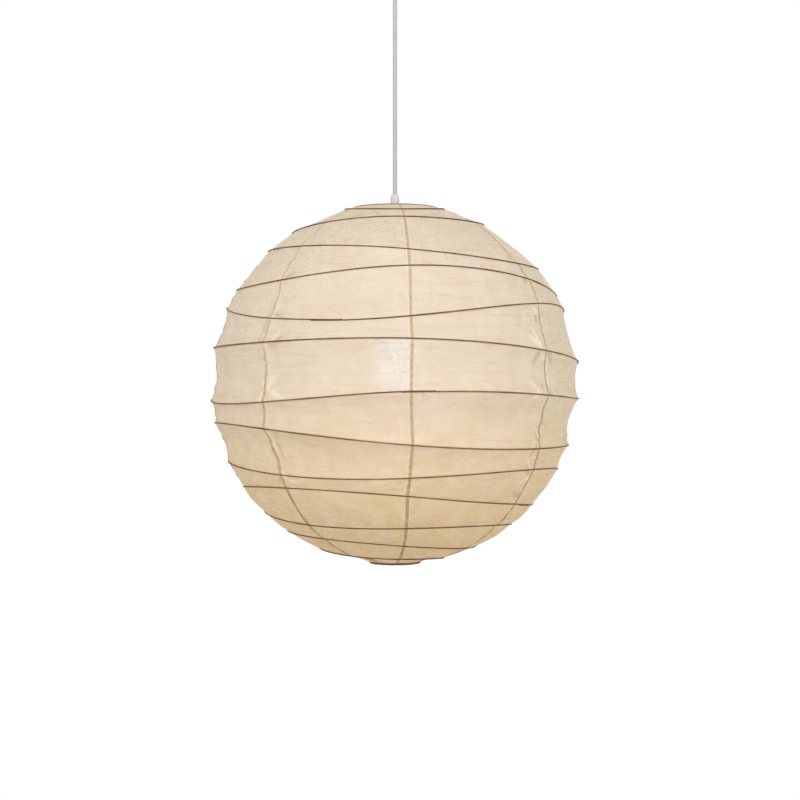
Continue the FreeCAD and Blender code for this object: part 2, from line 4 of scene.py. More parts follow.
import bpy
import numpy as np
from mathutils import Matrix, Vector


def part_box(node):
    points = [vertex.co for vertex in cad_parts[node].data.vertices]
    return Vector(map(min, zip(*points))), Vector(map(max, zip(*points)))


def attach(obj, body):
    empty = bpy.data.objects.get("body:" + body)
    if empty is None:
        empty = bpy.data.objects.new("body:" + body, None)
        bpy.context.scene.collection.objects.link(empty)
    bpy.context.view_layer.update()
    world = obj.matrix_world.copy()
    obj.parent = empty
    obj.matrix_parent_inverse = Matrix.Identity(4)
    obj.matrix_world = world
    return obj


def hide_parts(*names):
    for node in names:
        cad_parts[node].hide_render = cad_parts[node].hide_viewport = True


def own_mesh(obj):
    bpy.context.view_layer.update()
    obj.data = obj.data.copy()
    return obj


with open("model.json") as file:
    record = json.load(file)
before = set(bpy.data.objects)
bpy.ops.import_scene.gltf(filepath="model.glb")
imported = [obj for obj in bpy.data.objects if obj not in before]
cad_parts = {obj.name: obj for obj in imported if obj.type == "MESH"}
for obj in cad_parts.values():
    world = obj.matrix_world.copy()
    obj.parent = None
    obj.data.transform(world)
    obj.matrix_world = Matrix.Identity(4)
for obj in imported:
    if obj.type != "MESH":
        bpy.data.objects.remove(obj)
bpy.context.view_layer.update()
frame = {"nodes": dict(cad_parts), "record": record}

# Looks of the round paper pendant lantern. Metres, the frame of the CAD model: the origin is on
# the ceiling, +Z up, the front faces -Y. Heights called levels count from the shade's centre.
# An azimuth is an angle around the shade, from its front towards +X, in degrees.

# ---------------------------------------------------------------- sizes

SHADE_CENTRE = -0.600
GLOBE_BROAD = 0.250          # radius of the surface that the ribs lie on
GLOBE_TALL = 0.245
GLOBE_RISE = 0.002
RIB_RADIUS = 0.00083
SPLICE_LENGTH = 0.042
SPLICE_STEP = 0.0012
RING_WIRE = 0.001
GORE_COUNT = 8
GORE_WIDTH = 0.2             # at the middle of the globe
FIRST_SEAM = 5.0             # azimuth of the seam between the last gore and the first
FOLDS_PER_RIB = 14
FOLDS_NEAR_SEAM = 8
PUCKER_DEPTH = 0.0006
PUCKER_REACH = 0.012

# each rib as a wavy, tilted circle: mean level, tilt and its azimuth, wave and its azimuth, and
# the azimuth of the splice; levels in millimetres, as in the CAD source
RIBS = [
    (234.0, 0.5, 165, 4.0, 90, 170),
    (214.0, 6.0, 93, 4.0, -18, 130),
    (173.0, 13.5, -119, 4.5, -8, -150),
    (133.0, 6.5, -53, 12.5, 20, 58),
    (90.0, 4.5, -44, 16.5, 69, -26),
    (45.0, 11.5, -64, 6.5, 18, 160),
    (-8.0, 14.5, 179, 12.0, 13, 2),
    (-72.5, 15.0, -72, 7.0, -76, -140),
    (-115.5, 8.0, -54, 9.5, 68, 120),
    (-147.0, 12.5, -64, 4.0, -24, 58),
    (-179.5, 10.0, -112, 5.5, 46, -165),
    (-205.5, 11.0, -109, 1.5, -6, 140),
    (-229.0, 7.0, -87, 2.5, 56, 175),
]

# each seam: how far it wanders sideways in degrees, all along it and further at the top and at the
# bottom, the width of its glued lap in metres at the top and at the bottom, and how crumpled the
# paper beside it is
SEAMS = [
    (0, 1, 0, 0.0036, 0.0044, 0.25),
    (2, 12, 7, 0.0028, 0.0042, 1.5),
    (-1, 5, 3, 0.0034, 0.0030, 1.0),
    (1, -4, -2, 0.0040, 0.0050, 0.6),
    (0, 2, 4, 0.0032, 0.0036, 0.9),
    (-2, -3, 2, 0.0042, 0.0034, 0.5),
    (1, -7, -8, 0.0036, 0.0046, 1.2),
    (-2, -4, 1, 0.0026, 0.0062, 0.9),
]

# how hollow the paper hangs between two hoops, as a share of their spacing, at each level in metres:
# on the left and on the right; below nought it bulges
HOLLOWS = [
    (-0.236, 0.06, 0.06),
    (-0.225, -0.02, -0.02),
    (-0.190, -0.04, -0.08),
    (-0.140, -0.06, -0.03),
    (-0.110, 0.03, 0.03),
    (-0.085, 0.115, 0.10),
    (0.000, 0.115, 0.115),
    (0.030, 0.115, 0.085),
    (0.075, 0.115, 0.045),
    (0.110, 0.080, -0.03),
    (0.145, 0.01, 0.00),
    (0.170, -0.01, 0.02),
    (0.205, -0.01, -0.055),
    (0.225, 0.00, 0.00),
]

CORD_ROUTE = [(0, 0, -0.047), (0, 0, -0.083), (0, 0, -0.442), (0, 0, -0.478)]
CORD_DIAMETER = 0.006


def middle(node):
    """The centre of a CAD node's box, and the box's size."""
    low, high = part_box(node)
    return (low + high) / 2, high - low


def ring_place(node):
    """Level and wire-centre radius of one of the shade's end rings."""
    centre, extent = middle(node)
    return centre.z - SHADE_CENTRE, extent.x / 2 - RING_WIRE


TOP_LEVEL, TOP_RADIUS = ring_place("top_ring")
BOTTOM_LEVEL, BOTTOM_RADIUS = ring_place("bottom_ring")


# ---------------------------------------------------------------- camera and cord

def make_camera():
    """Level camera in front of the shade, a little below its centre."""
    camera = bpy.data.cameras.new("camera")
    camera.lens = 76
    camera.sensor_width = 36
    holder = bpy.data.objects.new("camera", camera)
    holder.location = (0.0068, -2.3, -0.6204)
    holder.rotation_euler = (math.radians(90), 0, 0)
    bpy.context.scene.collection.objects.link(holder)
    bpy.context.scene.camera = holder


def make_cord():
    """The taut flex from the ceiling grip down to the lampholder."""
    curve = bpy.data.curves.new("flex_cord", "CURVE")
    curve.dimensions = "3D"
    curve.bevel_depth = CORD_DIAMETER / 2
    curve.bevel_resolution = 8
    curve.resolution_u = 12
    curve.use_fill_caps = True
    spline = curve.splines.new("NURBS")
    spline.points.add(len(CORD_ROUTE) - 1)
    for point, place in zip(spline.points, CORD_ROUTE):
        point.co = (*place, 1)
    spline.order_u = 3
    spline.use_endpoint_u = True
    cord = bpy.data.objects.new("flex_cord", curve)
    bpy.context.scene.collection.objects.link(cord)
    curve.materials.append(materials["cord_sheath"])
    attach(cord, "pendant")
    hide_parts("cord")


# ---------------------------------------------------------------- shader building blocks

def colour(red, green, blue):
    """A linear colour with alpha, from display values of 0 to 255."""
    linear = []
    for value in (red, green, blue):
        share = value / 255
        linear.append(share / 12.92 if share <= 0.04045 else ((share + 0.055) / 1.055) ** 2.4)
    return (*linear, 1)


class Shader:
    """A new material's node tree, with short calls for the nodes that are used here."""

    def __init__(self, name):
        self.material = bpy.data.materials.new(name)
        self.material.use_nodes = True
        self.tree = self.material.node_tree
        self.tree.nodes.clear()
        self.output = self.tree.nodes.new("ShaderNodeOutputMaterial")

    def node(self, kind, inputs=(), **settings):
        made = self.tree.nodes.new("ShaderNode" + kind)
        for name, value in settings.items():
            setattr(made, name, value)
        for name, value in dict(inputs).items():
            if isinstance(value, bpy.types.NodeSocket):
                self.tree.links.new(value, made.inputs[name])
            else:
                made.inputs[name].default_value = value
        return made

    def math(self, operation, first, second=0.0):
        return self.node("Math", {0: first, 1: second}, operation=operation).outputs[0]

    def spread(self, value, low, high, start=0.0, end=1.0):
        """Maps low..high smoothly to start..end."""
        made = self.node("MapRange", {"Value": value, "From Min": low, "From Max": high,
                                      "To Min": start, "To Max": end}, interpolation_type="SMOOTHSTEP")
        return made.outputs["Result"]

    def stretched(self, vector, scale):
        return self.node("Mapping", {"Vector": vector, "Scale": scale}).outputs["Vector"]

    def noise(self, vector, scale, detail=3.0, roughness=0.55, distortion=0.0):
        made = self.node("TexNoise", {"Vector": vector, "Scale": scale, "Detail": detail,
                                      "Roughness": roughness, "Distortion": distortion})
        return made.outputs["Fac"]

    def cells(self, vector, scale):
        return self.node("TexVoronoi", {"Vector": vector, "Scale": scale}).outputs["Distance"]

    def mix(self, share, first, second, blend="MIX"):
        made = self.tree.nodes.new("ShaderNodeMix")
        made.data_type = "RGBA"
        made.blend_type = blend
        for socket, value in ((made.inputs[0], share), (made.inputs[6], first), (made.inputs[7], second)):
            if isinstance(value, bpy.types.NodeSocket):
                self.tree.links.new(value, socket)
            else:
                socket.default_value = value
        return made.outputs[2]

    def bump(self, height, strength, distance):
        inputs = {"Height": height, "Strength": strength, "Distance": distance}
        return self.node("Bump", inputs).outputs["Normal"]

    def place(self):
        return self.node("TexCoord").outputs["Object"]

    def finish(self, surface):
        self.tree.links.new(surface, self.output.inputs["Surface"])
        return self.material


def hard_material(name, light, dark, rough, grain=900, metallic=0.0, bump=0.15,
                  dust=(120, 112, 98), dust_share=0.25, coat=0.0, glow=None):
    """Moulded, drawn or glazed surface: mottled colour, fine grain, scratches and a film of dust."""
    shader = Shader(name)
    place = shader.place()
    broad = shader.noise(place, 38, 4)
    fine = shader.noise(place, grain, 5, 0.6)
    scratches = shader.noise(shader.stretched(place, (30, 30, 420)), 4, 2, 0.4, 0.3)
    off_scratch = shader.math("ABSOLUTE", shader.math("SUBTRACT", scratches, 0.5))
    scratch = shader.spread(off_scratch, 0, 0.012, 1, 0)
    body = shader.mix(shader.spread(broad, 0.3, 0.7), colour(*dark), colour(*light))
    body = shader.mix(shader.spread(fine, 0.35, 0.75, 0, 0.35), body, colour(*dark))
    specks = shader.spread(shader.cells(place, 260), 0.05, 0.14, 1, 0)
    patches = shader.spread(shader.noise(place, 70, 4), 0.52, 0.72)
    film = shader.math("MULTIPLY", shader.math("MAXIMUM", specks, patches), dust_share)
    body = shader.mix(film, body, colour(*dust))
    gloss = shader.spread(shader.math("ADD", broad, shader.math("MULTIPLY", scratch, 0.25)),
                          0.25, 0.85, rough[0], rough[1])
    relief = shader.math("SUBTRACT", fine, shader.math("MULTIPLY", scratch, 0.5))
    inputs = {"Base Color": body, "Roughness": gloss, "Metallic": metallic, "Coat Weight": coat,
              "Normal": shader.bump(relief, bump, 0.0002)}
    if glow:
        inputs["Emission Color"] = colour(*glow[0])
        inputs["Emission Strength"] = glow[1]
    return shader.finish(shader.node("BsdfPrincipled", inputs).outputs["BSDF"])


def cane_material():
    """Split cane stained dark: long fibres, paler knuckles, worn and glue-spotted patches."""
    shader = Shader("rib_cane")
    strand = shader.node("Attribute", attribute_name="strand").outputs["Vector"]
    fibres = shader.noise(shader.stretched(strand, (14, 500, 1)), 3, 4, 0.6)
    blotches = shader.noise(shader.stretched(strand, (9, 20, 1)), 2, 3)
    body = shader.mix(shader.spread(fibres, 0.3, 0.7), colour(70, 47, 21), colour(125, 89, 44))
    body = shader.mix(shader.spread(blotches, 0.45, 0.72, 0, 0.45), body, colour(146, 108, 60))
    knuckle = shader.node("Attribute", attribute_name="knuckle").outputs["Fac"]
    body = shader.mix(shader.math("MULTIPLY", knuckle, 0.6), body, colour(172, 138, 92))
    gloss = shader.spread(fibres, 0.2, 0.8, 0.42, 0.68)
    inputs = {"Base Color": body, "Roughness": gloss, "Specular IOR Level": 0.25,
              "Normal": shader.bump(fibres, 0.5, 0.0003)}
    return shader.finish(shader.node("BsdfPrincipled", inputs).outputs["BSDF"])


def hair_lines(shader, sheet, stretch, width):
    """Thin wandering lines along a sheet, where a stretched noise passes its middle value."""
    wander = shader.noise(shader.stretched(sheet, stretch), 1.4, 3, 0.5, 0.4)
    aside = shader.math("ABSOLUTE", shader.math("SUBTRACT", wander, 0.5))
    return shader.spread(aside, 0.0, width, 1, 0)


def paper_material(name, tone=(1, 1, 1), see_through=1.0):
    """Thin long-fibre paper: streaks, stray fibres, flecks, a darker glued lap, light coming through,
    painted shade and highlights.
    """
    shader = Shader(name)
    sheet = shader.node("Attribute", attribute_name="sheet").outputs["Vector"]
    lap = shader.node("Attribute", attribute_name="lap").outputs["Fac"]
    hoop = shader.node("Attribute", attribute_name="hoop").outputs["Fac"]
    fray = shader.node("Attribute", attribute_name="fray").outputs["Fac"]
    rise = shader.node("Attribute", attribute_name="rise").outputs["Fac"]
    ridge = shader.node("Attribute", attribute_name="ridge").outputs["Fac"]
    valley = shader.node("Attribute", attribute_name="valley").outputs["Fac"]
    tint = shader.noise(sheet, 7, 3)
    cloud = shader.noise(sheet, 45, 4, 0.6)
    streaks = shader.noise(shader.stretched(sheet, (13, 210, 1)), 1, 5, 0.60)
    weave = shader.noise(shader.stretched(sheet, (60, 260, 1)), 3, 3, 0.6)
    pulp = shader.noise(sheet, 560, 2, 0.5)
    specks = shader.spread(shader.noise(sheet, 620, 2, 0.6), 0.56, 0.63)
    fibres = hair_lines(shader, sheet, (30, 90, 1), 0.010)
    strands = hair_lines(shader, sheet, (3.5, 34, 1), 0.0035)
    flecks = shader.spread(shader.cells(shader.stretched(sheet, (60, 130, 1)), 1.2), 0.04, 0.09, 1, 0)

    # painted shade: the paper is paler above and darker and more tan towards the bottom
    upper = shader.mix(shader.spread(tint, 0.35, 0.65), colour(228, 217, 204), colour(226, 218, 199))
    lower = shader.mix(shader.spread(tint, 0.35, 0.65), colour(234, 209, 166), colour(230, 209, 155))
    reflected = shader.mix(rise, lower, upper)
    reflected = shader.mix(shader.spread(cloud, 0.35, 0.75, 0, 0.45), reflected, colour(240, 230, 216))
    reflected = shader.mix(shader.spread(streaks, 0.45, 0.74, 0, 0.42), reflected, colour(219, 198, 160))
    reflected = shader.mix(shader.math("MULTIPLY", fibres, 0.20), reflected, colour(246, 238, 222))
    # the long fibres show as darker strands: the fibres, and their shadows against the light coming
    # through, painted in
    reflected = shader.mix(shader.math("MULTIPLY", strands, 0.30), reflected, colour(196, 171, 128))
    reflected = shader.mix(shader.math("MULTIPLY", flecks, 0.35), reflected, colour(166, 136, 92))
    # painted shade in the folds' valleys and painted highlights on their ridges
    reflected = shader.mix(shader.math("MULTIPLY", valley, 0.50), reflected, colour(190, 164, 120))
    reflected = shader.mix(shader.math("MULTIPLY", ridge, 0.50), reflected, colour(255, 250, 240))
    # the glued lap is painted darker: its paste stain, and painted shade of the doubled paper, darker
    # towards the bottom
    glue = shader.spread(shader.noise(sheet, 180, 3, 0.6), 0.35, 0.65, 0.45, 0.90)
    paste = shader.mix(rise, colour(176, 150, 98), colour(198, 176, 130))
    # painted highlight just past the edge of the glued lap
    reflected = shader.mix(shader.math("MULTIPLY", fray, 0.45), reflected, colour(250, 245, 234))
    reflected = shader.mix(shader.math("MULTIPLY", lap, glue), reflected, paste)
    # painted highlight along the hoops, and on the crests of the collars' wrinkles
    reflected = shader.mix(shader.math("MULTIPLY", hoop, 0.35), reflected, colour(252, 243, 228))
    # tone darkens the whole sheet: painted shade on the top collar, the brown of the paper on the bottom
    # collar
    reflected = shader.mix(1.0, reflected, (*tone, 1), "MULTIPLY")
    passed = shader.mix(1.0, reflected, colour(255, 242, 222), "MULTIPLY")
    passed = shader.mix(shader.math("MULTIPLY", specks, 0.25), passed, colour(120, 96, 70))

    relief = shader.math("MULTIPLY", streaks, 0.6)
    for layer, height in ((fibres, 0.25), (pulp, 0.35), (strands, 0.5), (cloud, 1.4)):
        relief = shader.math("ADD", relief, shader.math("MULTIPLY", layer, height))
    normal = shader.bump(relief, 0.5, 0.0005)

    face = shader.node("BsdfPrincipled", {"Base Color": reflected, "Roughness": 0.72,
                                          "Specular IOR Level": 0.28, "Sheen Weight": 0.08,
                                          "Sheen Roughness": 0.5, "Normal": normal}).outputs["BSDF"]
    through = shader.node("BsdfTranslucent", {"Color": passed, "Normal": normal}).outputs["BSDF"]
    crinkle = shader.bump(shader.noise(sheet, 560, 3, 0.7), 0.9, 0.0008)
    blurred = shader.node("BsdfRefraction", {"Color": colour(250, 252, 255), "Roughness": 0.46,
                                             "IOR": 1.36, "Normal": crinkle}).outputs["BSDF"]
    both = shader.node("MixShader", {0: 0.36, 1: face, 2: through}).outputs[0]
    # the share of light that passes straight on, between the grains, the specks and the laps
    thin = shader.spread(weave, 0.3, 0.65, 0.4, 1)
    grains = shader.math("MULTIPLY", shader.spread(pulp, 0.43, 0.55), thin)
    clear = shader.math("ADD", 0.01, shader.math("MULTIPLY", grains, 0.15))
    for layer, share in ((specks, 0.9), (lap, 0.8)):
        left = shader.math("SUBTRACT", 1.0, shader.math("MULTIPLY", layer, share))
        clear = shader.math("MULTIPLY", clear, left)
    clear = shader.math("MULTIPLY", clear, see_through)
    return shader.finish(shader.node("MixShader", {0: clear, 1: both, 2: blurred}).outputs[0])


def opal_material():
    """Opal bulb glass, lit from inside, much brighter in the middle of its face than at its rim."""
    shader = Shader("bulb_frosted")
    place = shader.place()
    frost = shader.noise(place, 1400, 3)
    haze = shader.noise(place, 40, 3)
    body = shader.mix(shader.spread(haze, 0.3, 0.7), colour(240, 243, 246), colour(250, 250, 248))
    light = shader.mix(shader.spread(haze, 0.3, 0.7), colour(160, 204, 252), colour(172, 211, 252))
    facing = shader.node("LayerWeight", {"Blend": 0.35}).outputs["Facing"]
    glow = shader.math("MULTIPLY", shader.spread(facing, 0.05, 0.50, 1.0, 0.0), 6.0)
    inputs = {"Base Color": body, "Roughness": shader.spread(frost, 0.2, 0.8, 0.22, 0.36),
              "Emission Color": light, "Emission Strength": glow,
              "Normal": shader.bump(frost, 0.1, 0.0001)}
    return shader.finish(shader.node("BsdfPrincipled", inputs).outputs["BSDF"])


def make_materials():
    """One finish for each material slot of the record."""
    made = {
        "bracket_steel": hard_material("bracket_steel", (196, 198, 198), (150, 154, 156), (0.34, 0.55),
                                       grain=240, metallic=1.0),
        "rose_plastic": hard_material("rose_plastic", (221, 220, 215), (208, 206, 200), (0.28, 0.42),
                                      dust_share=0.12, bump=0.08),
        "screw_steel": hard_material("screw_steel", (206, 204, 198), (148, 146, 142), (0.25, 0.45),
                                     metallic=1.0),
        "grip_nylon": hard_material("grip_nylon", (198, 199, 201), (186, 187, 189), (0.36, 0.50),
                                    dust_share=0.10, bump=0.12),
        "cord_sheath": hard_material("cord_sheath", (172, 173, 175), (162, 163, 165), (0.40, 0.55),
                                     dust_share=0.10, bump=0.10),
        "core_live": hard_material("core_live", (122, 72, 44), (96, 54, 32), (0.35, 0.5)),
        "core_neutral": hard_material("core_neutral", (52, 104, 176), (36, 82, 148), (0.35, 0.5)),
        "terminal_plastic": hard_material("terminal_plastic", (232, 230, 220), (214, 211, 198),
                                          (0.3, 0.45)),
        "contact_brass": hard_material("contact_brass", (214, 180, 108), (172, 136, 74), (0.22, 0.42),
                                       metallic=1.0, dust=(92, 70, 40)),
        "frame_steel": hard_material("frame_steel", (212, 212, 208), (168, 168, 166), (0.28, 0.46),
                                     metallic=1.0, dust=(104, 92, 76)),
        "ring_steel": hard_material("ring_steel", (206, 204, 198), (160, 158, 154), (0.30, 0.48),
                                    metallic=1.0, dust=(96, 80, 62)),
        "holder_plastic": hard_material("holder_plastic", (221, 220, 214), (207, 205, 197), (0.30, 0.44),
                                        dust_share=0.14, bump=0.10),
        "insert_ceramic": hard_material("insert_ceramic", (236, 230, 214), (218, 208, 188), (0.18, 0.34),
                                        coat=0.3),
        "bulb_frosted": opal_material(),
        "bulb_metal": hard_material("bulb_metal", (214, 212, 206), (176, 172, 164), (0.22, 0.40),
                                    metallic=1.0),
        "bulb_black": hard_material("bulb_black", (36, 34, 34), (20, 19, 20), (0.12, 0.30), coat=0.4),
        "filament_glow": hard_material("filament_glow", (250, 214, 150), (240, 190, 110), (0.4, 0.6),
                                       glow=((255, 214, 150), 4.0)),
        "rib_cane": cane_material(),
        "washi_paper": paper_material("washi_paper"),
        # the top collar's paper is painted darker: painted shade on the fold over the wire
        "paper_fold": paper_material("paper_fold", tone=(0.50, 0.44, 0.40), see_through=0.2),
    }
    made["paper_fold_dark"] = paper_material("paper_fold_dark", tone=(0.26, 0.17, 0.11), see_through=0.0)
    return made


def finish_cad_nodes():
    """Gives every carried-over CAD node the finish of its material slot."""
    for part in frame["record"]["subparts"]:
        node = frame["nodes"][part["node"]]
        for holder in node.material_slots:
            holder.material = materials[part["material_slot"]]


# ---------------------------------------------------------------- mesh building blocks

def make_mesh(name, points, faces, slot, material, **attributes):
    """A mesh object from an array of points, with float or vector attributes on them."""
    mesh = bpy.data.meshes.new(name)
    mesh.from_pydata(points.tolist(), [], faces)
    for key, values in attributes.items():
        kind = "FLOAT" if values.ndim == 1 else "FLOAT_VECTOR"
        field = "value" if values.ndim == 1 else "vector"
        attribute = mesh.attributes.new(key, kind, "POINT")
        attribute.data.foreach_set(field, values.astype(np.float32).ravel())
    mesh.polygons.foreach_set("use_smooth", [True] * len(mesh.polygons))
    mesh.materials.append(material)
    made = bpy.data.objects.new(name, mesh)
    bpy.context.scene.collection.objects.link(made)
    return made


def grid_faces(rows, columns, wrap_rows=False, wrap_columns=False):
    """Quads over a grid of points that is stored row by row."""
    faces = []
    for row in range(rows if wrap_rows else rows - 1):
        above = (row + 1) % rows
        for column in range(columns if wrap_columns else columns - 1):
            beside = (column + 1) % columns
            faces.append((row * columns + column, row * columns + beside,
                          above * columns + beside, above * columns + column))
    return faces


def smooth_step(value):
    value = np.clip(value, 0, 1)
    return value * value * (3 - 2 * value)


def ripples(random, first, second, shortest, longest, count=18):
    """Smooth irregular noise of about unit size over two coordinates in metres."""
    total = np.zeros(np.broadcast(first, second).shape)
    for _ in range(count):
        wave = 2 * math.pi / random.uniform(shortest, longest)
        heading = random.uniform(0, 2 * math.pi)
        phase = random.uniform(0, 2 * math.pi)
        total = total + np.sin(wave * (first * math.cos(heading) + second * math.sin(heading)) + phase)
    return total / math.sqrt(count / 2)


# ---------------------------------------------------------------- the shade

def globe_radius(level, depth=0.0):
    """Radius at a level, a given depth inside the surface that the ribs lie on."""
    share = (level - GLOBE_RISE) / (GLOBE_TALL - depth)
    return (GLOBE_BROAD - depth) * np.sqrt(np.clip(1 - share ** 2, 0, 1))


def hoop_level(rib, azimuth):
    """Level of a rib's first turn at an azimuth."""
    height, tilt, tilt_side, wave, wave_side = rib[:5]
    level = height + tilt * np.cos(np.radians(azimuth - tilt_side))
    level = level + wave * np.cos(2 * np.radians(azimuth - wave_side))
    return level / 1000


def around(azimuth, radius, level):
    """Points in the frame from azimuth, radius and level."""
    angle = np.radians(azimuth)
    return np.stack([radius * np.sin(angle), -radius * np.cos(angle), SHADE_CENTRE + level], axis=-1)


def seam_azimuth(seam, level):
    """Azimuth of a seam at a level; seam 0 is just right of the front."""
    turn = seam % GORE_COUNT
    aside, top, bottom = SEAMS[turn][:3]
    bend = aside + np.where(level > 0, top, bottom) * np.abs(level / GLOBE_TALL) ** 2
    kinks = 0.30 * np.sin(level * 55 + turn * 2.1) + 0.16 * np.sin(level * 150 + turn)
    kinks = kinks + 0.12 * np.sin(level * 330 + turn * 1.7)
    crooked = 2.2 if turn else 1.0
    return FIRST_SEAM + seam * 360 / GORE_COUNT + bend + kinks * crooked


def lap_width(seam, level):
    """Width of a seam's glued lap at a level."""
    upper, lower = SEAMS[seam % GORE_COUNT][3:5]
    return lower + (upper - lower) * smooth_step(level / (2 * GLOBE_TALL) + 0.5)


def lap_puckers(seam, azimuth, level):
    """Puckers along a seam, which the two gores that are glued together there share."""
    random = np.random.default_rng(700 + seam % GORE_COUNT)
    aside = np.radians(azimuth - seam_azimuth(seam, level)) * GLOBE_BROAD
    crumple = 0.4 + 0.6 * SEAMS[seam % GORE_COUNT][5]
    near = np.exp(-(aside / PUCKER_REACH) ** 2)
    return crumple * near * ripples(random, 0.5 * aside, level, 0.007, 0.022, 10)


def creases(random, along, level, span, levels, crumples):
    """Depth of sharp folds in the paper, most of them starting where a rib crosses a seam."""
    total = np.zeros(along.shape)
    for rib_level in levels:
        for number in range(FOLDS_PER_RIB):
            side = 1 if number % 2 else -1
            near_seam = number < FOLDS_NEAR_SEAM
            start = side * span / 2 * (random.uniform(0.90, 1.0) if near_seam else random.uniform(0, 0.9))
            heading = math.radians(random.uniform(12, 75) if near_seam else random.uniform(4, 35))
            heading = heading * random.choice([-1, 1])
            reach = random.uniform(0.012, 0.045) if near_seam else random.uniform(0.03, 0.08)
            width = random.uniform(0.0015, 0.0030)
            depth = random.uniform(0.0010, 0.0022) if near_seam else random.uniform(0.0001, 0.0004)
            if near_seam:
                depth = depth * crumples[number % 2]
            depth = depth * random.choice([-1, 1])
            step_along = -side * math.cos(heading)
            step_level = math.sin(heading)
            from_start = (along - start) * step_along + (level - rib_level) * step_level
            aside = (along - start) * step_level - (level - rib_level) * step_along
            fade = smooth_step(from_start / 0.006) * (1 - smooth_step(from_start / reach))
            total = total + depth * np.exp(-(aside / width) ** 2) * fade
    return total


def make_gore(index):
    """One paper gore, stretched over the hoops and hollow between them."""
    random = np.random.default_rng(100 + index)
    columns = 100
    band_rows = 18
    # every second gore's edges are glued over its neighbours'
    outer = index % 2 == 0
    depth = 0.0005 if outer else 0.0008
    # the columns crowd towards the glued edges, where the paper puckers
    crowding = 0.6
    even = np.linspace(0, 1, columns)
    across = even - crowding * np.sin(2 * math.pi * even) / (2 * math.pi)
    edge = np.minimum(across, 1 - across)
    crumples = [SEAMS[seam % GORE_COUNT][5] for seam in (index - 1, index)]

    def azimuths(level):
        """Azimuth of each column at its own level."""
        reach = np.maximum(globe_radius(level), BOTTOM_RADIUS)
        left = seam_azimuth(index - 1, level) - np.degrees(lap_width(index - 1, level) / 2 / reach)
        right = seam_azimuth(index, level) + np.degrees(lap_width(index, level) / 2 / reach)
        return left + (right - left) * across

    # the levels at which the paper touches the rings and the hoops, and the azimuths there
    marks = []
    for rib in [None, *RIBS, None]:
        if rib is None:
            fixed = TOP_LEVEL if not marks else BOTTOM_LEVEL
            level = np.full(columns, fixed)
            side = azimuths(level)
            radius = np.full(columns, (TOP_RADIUS if not marks else BOTTOM_RADIUS) + RING_WIRE)
        else:
            level = np.full(columns, rib[0] / 1000)
            for _ in range(3):
                side = azimuths(level)
                level = hoop_level(rib, side)
            radius = globe_radius(level, depth)
        marks.append((side, radius, level))

    hung_levels, left_shares, right_shares = zip(*HOLLOWS)
    rows = []
    for band, (above, below) in enumerate(zip(marks, marks[1:])):
        spacing = np.hypot(above[1] - below[1], above[2] - below[2])
        angle = np.radians(above[0])
        hung_left, hung_right = (np.interp((above[2] + below[2]) / 2, hung_levels, shares)
                                 for shares in (left_shares, right_shares))
        hollow = hung_left + (hung_right - hung_left) * (1 + np.sin(angle)) / 2
        # a ripple runs on from gore to gore
        sway = ripples(np.random.default_rng(300 + band), GLOBE_BROAD * np.sin(angle),
                       GLOBE_BROAD * np.cos(angle), 0.06, 0.16, 8)
        hollow = hollow * (1 + 0.16 * sway)
        # the doubled paper of a seam is stiffer
        stiff = np.exp(-(edge * GORE_WIDTH / PUCKER_REACH) ** 2)
        hollow = np.clip(hollow * (1 - 0.30 * stiff), -0.06, 0.17)
        last = band == len(marks) - 2
        for row in range(band_rows + (1 if last else 0)):
            share = row / band_rows
            radius = above[1] + (below[1] - above[1]) * share
            level = above[2] + (below[2] - above[2]) * share
            side = above[0] + (below[0] - above[0]) * share
            # inwards is square to the line from hoop to hoop, in the plane through the axis
            inward = 4 * share * (1 - share) * hollow * spacing
            lean = (above[2] - below[2]) / np.maximum(spacing, 1e-6)
            drop = (below[1] - above[1]) / np.maximum(spacing, 1e-6)
            rows.append((side, radius - inward * lean, level - inward * drop, share * np.ones(columns)))
    side, radius, level, share = (np.array(part) for part in zip(*rows))

    centre = (side[:, :1] + side[:, -1:]) / 2
    along = np.radians(side - centre) * radius
    span = GLOBE_BROAD * 2 * math.pi / GORE_COUNT
    free = smooth_step(4 * share * (1 - share))
    from_edge = np.radians(side[:, -1:] - side[:, :1]) * radius * edge
    folds = creases(random, along, level, span, [rib[0] / 1000 for rib in RIBS], crumples)
    folds = folds * smooth_step((from_edge - 0.003) / 0.004)
    relief = folds + 0.00035 * ripples(random, along, level, 0.018, 0.07) * smooth_step(from_edge / 0.02)
    relief = relief + 0.00012 * ripples(random, along, level, 0.006, 0.02) * smooth_step(from_edge / 0.008)
    # the paper puckers beside its glued edges
    for seam in (index - 1, index):
        relief = relief + PUCKER_DEPTH * lap_puckers(seam, side, level)
    if outer:
        # its edges lift a hair off the lap
        relief = relief + 0.00025 * smooth_step(1 - from_edge / 0.004)
    radius = radius + relief * (0.25 + 0.75 * free)

    points = around(side, radius, level).reshape(-1, 3)
    usual_spacing = 0.034
    rib_gap = np.minimum(share, 1 - share) * usual_spacing
    # how far a point is past the glued lap at its nearer edge
    past = from_edge - np.where(across < 0.5, lap_width(index - 1, level), lap_width(index, level))
    lap = 1 - smooth_step((past + 0.0004) / 0.0008)
    # a painted highlight in a thin line just past the lap, where the lifted edge catches light
    fray = np.exp(-((past - 0.0007) / 0.0006) ** 2)
    # the paper along the hoops gets a painted highlight, in patches
    patches = 0.6 + 0.4 * ripples(random, along, level, 0.01, 0.05) / 2
    hoop = (1 - smooth_step(rib_gap / 0.0032)) * patches
    # each gore is cut from a sheet of its own
    sheet = np.stack([along + index * 1.7, level + index * 0.9, np.full(along.shape, index * 0.37)],
                     axis=-1)
    # a fold's ridge gets a painted highlight, and its valley painted shade
    ridge = np.clip(folds / 0.0010, 0, 1)
    valley = np.clip(-folds / 0.0010, 0, 1)
